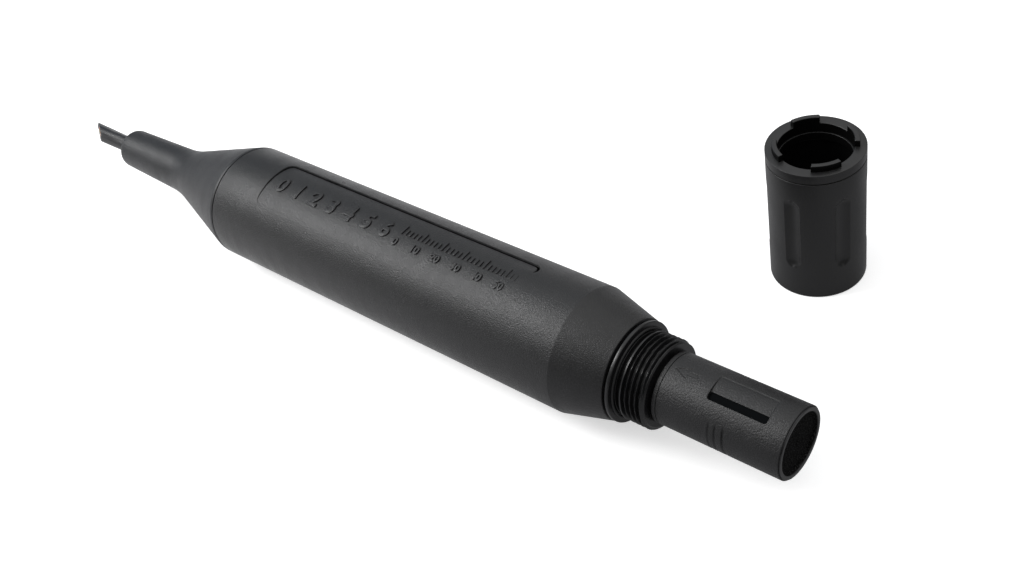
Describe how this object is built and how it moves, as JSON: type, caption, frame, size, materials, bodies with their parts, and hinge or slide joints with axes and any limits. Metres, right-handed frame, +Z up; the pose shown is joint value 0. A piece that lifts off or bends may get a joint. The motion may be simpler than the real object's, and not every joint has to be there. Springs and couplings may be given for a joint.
{
  "type": "water quality probe",
  "caption": "Slim black submersible water quality probe with tapered body, threaded head, optical sensor cap, moulded cable boot and a separate slotted guard.",
  "frame": {"origin": "centre of the sensing foil's outer flat face, on the probe's axis", "axes": "+X out of the sensing nose along the probe's axis, +Z up with the probe lying on its side, +Y towards the standing guard"},
  "size_m": [0.377, 0.137, 0.0593],
  "materials": {
    "body_plastic": "fine-grained satin black polymer",
    "guard_plastic": "smooth satin black polymer",
    "dark_plastic": "machined satin black polymer",
    "seal_rubber": "smooth black nitrile",
    "cable_jacket": "satin black polyurethane with lengthwise streaks",
    "steel": "stainless steel",
    "red_insulation": "satin",
    "black_insulation": "satin",
    "white_insulation": "satin",
    "green_insulation": "satin",
    "white_plastic": "matte white polymer",
    "green_laminate": "solder-masked glass-epoxy board",
    "chip_plastic": "moulded black package",
    "amber_film": "polyimide film",
    "window_glass": "clear polished window",
    "blue_lens": "tinted lens",
    "red_lens": "tinted lens",
    "filter_glass": "long-pass filter glass",
    "foil_coating": "matte black speckled luminescent coating"
  },
  "bodies": {
    "probe": {"housing": "body_plastic", "rear_bulkhead": "dark_plastic", "rear_o_ring": "seal_rubber", "gland_grommet": "seal_rubber", "gland_washer": "steel", "gland_nut": "dark_plastic", "strain_relief_boot": "body_plastic", "cable": "cable_jacket", "wire_red": "red_insulation", "wire_black": "black_insulation", "wire_white": "white_insulation", "wire_green": "green_insulation", "board_sled": "white_plastic", "circuit_board": "green_laminate", "board_screw_1": "steel", "board_screw_2": "steel", "board_screw_3": "steel", "board_screw_4": "steel", "cable_connector": "white_plastic", "sensor_connector": "white_plastic", "microcontroller": "chip_plastic", "signal_amplifier": "chip_plastic", "led_driver": "chip_plastic", "crystal": "steel", "surge_suppressor": "chip_plastic", "storage_capacitor": "chip_plastic", "power_inductor": "chip_plastic", "flex_circuit": "amber_film", "threaded_head": "dark_plastic", "head_o_ring": "seal_rubber", "neck_o_ring": "seal_rubber", "sensor_stem": "dark_plastic", "stem_o_ring_front": "seal_rubber", "stem_o_ring_rear": "seal_rubber", "optic_window": "window_glass", "optics_block": "dark_plastic", "blue_led": "blue_lens", "red_led": "red_lens", "photodiode": "steel", "optical_filter": "filter_glass", "thermistor": "chip_plastic"},
    "sensor_cap": {"cap_shell": "body_plastic", "foil_ring": "dark_plastic", "sensing_foil": "foil_coating", "cap_memory_board": "green_laminate"},
    "guard_carriage": {"desiccant_pack": "white_plastic"},
    "guard": {"guard_sleeve": "guard_plastic", "guard_end_ring": "guard_plastic"},
    "cable_tail": {"cable_tail": "cable_jacket"}
  },
  "joints": [
    {"name": "cap_pull", "type": "slide", "parent": "probe", "child": "sensor_cap", "axis": [-1, 0, 0], "range_m": [-0.05, 0]},
    {"name": "guard_slide", "type": "slide", "parent": "probe", "child": "guard_carriage", "axis": [-1, 0, 0], "range_m": [0, 0.1091]},
    {"name": "guard_swing", "type": "hinge", "parent": "guard_carriage", "child": "guard", "pos_m": [0.02406, 0.06119, -0.05059], "axis": [0.526, 0.6682, 0.526], "range_deg": [0, 112.49]},
    {"name": "cable_bend", "type": "hinge", "parent": "probe", "child": "cable_tail", "pos_m": [-0.3458, 0, 0], "axis": [0, 0, 1], "range_deg": [-25, 25]}
  ]
}
